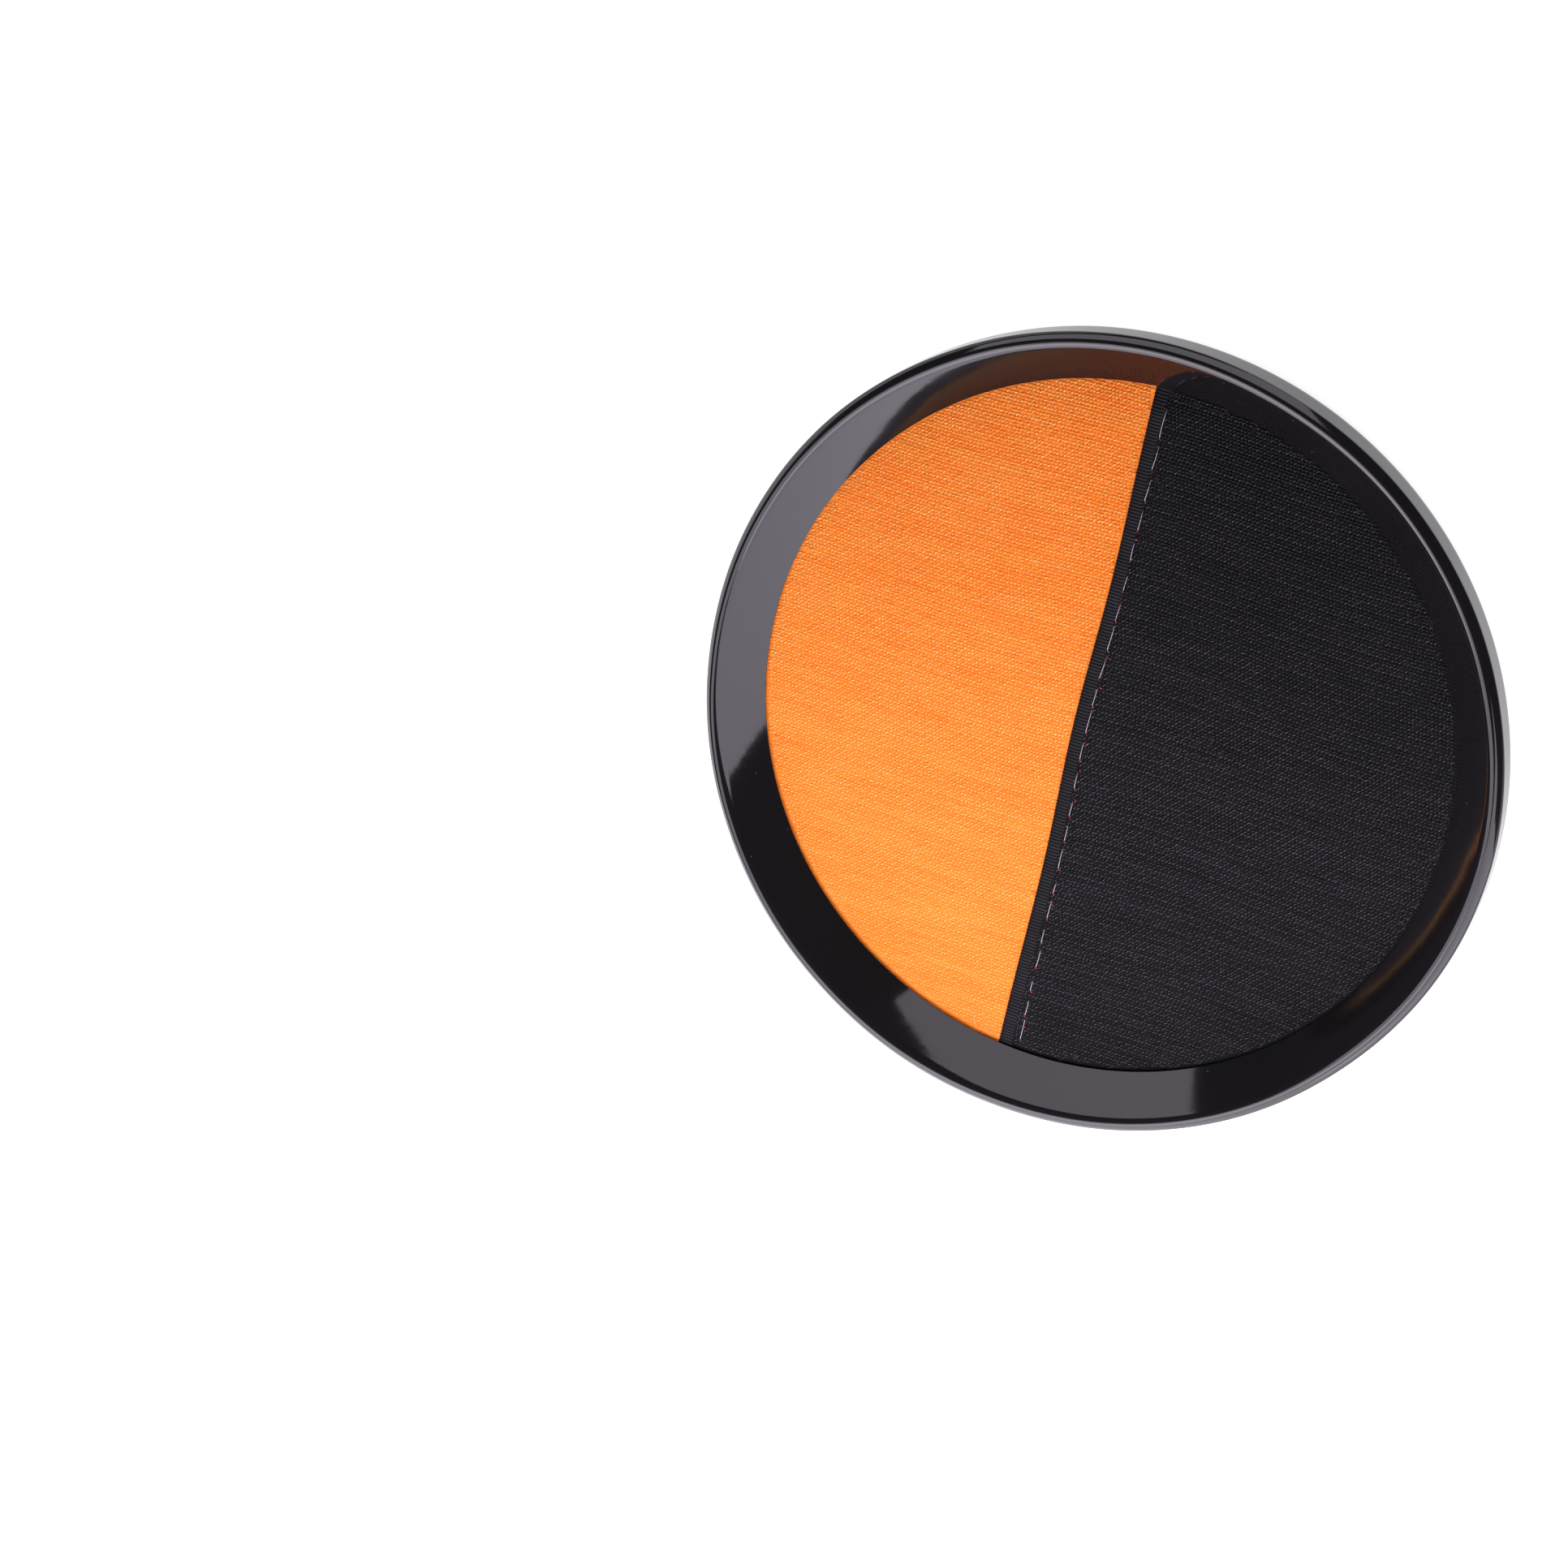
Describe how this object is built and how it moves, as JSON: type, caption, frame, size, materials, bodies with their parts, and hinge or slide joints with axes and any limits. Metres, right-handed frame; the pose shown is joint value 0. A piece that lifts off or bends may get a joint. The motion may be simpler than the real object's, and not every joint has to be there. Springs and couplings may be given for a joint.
{
  "type": "hook and loop catch paddle",
  "caption": "Round catch paddle: a loop cloth face, half orange and half black, held in a glossy ring with sloping inner walls, with an elastic hand strap across the back.",
  "frame": {"origin": "on the surface the paddle lies on, under the centre of the ring", "axes": "+Z out of the loop face, +Y along the seam, +X towards the black half"},
  "size_m": [0.185, 0.185, 0.0186],
  "materials": {
    "rim_vinyl": "glossy black vinyl",
    "orange_loop_cloth": "bright orange knitted loop cloth",
    "black_loop_cloth": "black knitted loop cloth with a ribbed woven edge",
    "seam_thread": "light grey sewing thread",
    "face_board": "plain grey plastic sheet",
    "back_cloth": "plain woven black cloth",
    "strap_elastic": "ribbed black elastic",
    "strap_thread": "black sewing thread"
  },
  "bodies": {
    "root": {"rim": "rim_vinyl", "orange_panel": "orange_loop_cloth", "black_panel": "black_loop_cloth", "seam_thread": "seam_thread", "face_board": "face_board", "back_cloth": "back_cloth", "hand_strap": "strap_elastic", "strap_stitch_left": "strap_thread", "strap_stitch_right": "strap_thread"}
  },
  "joints": []
}
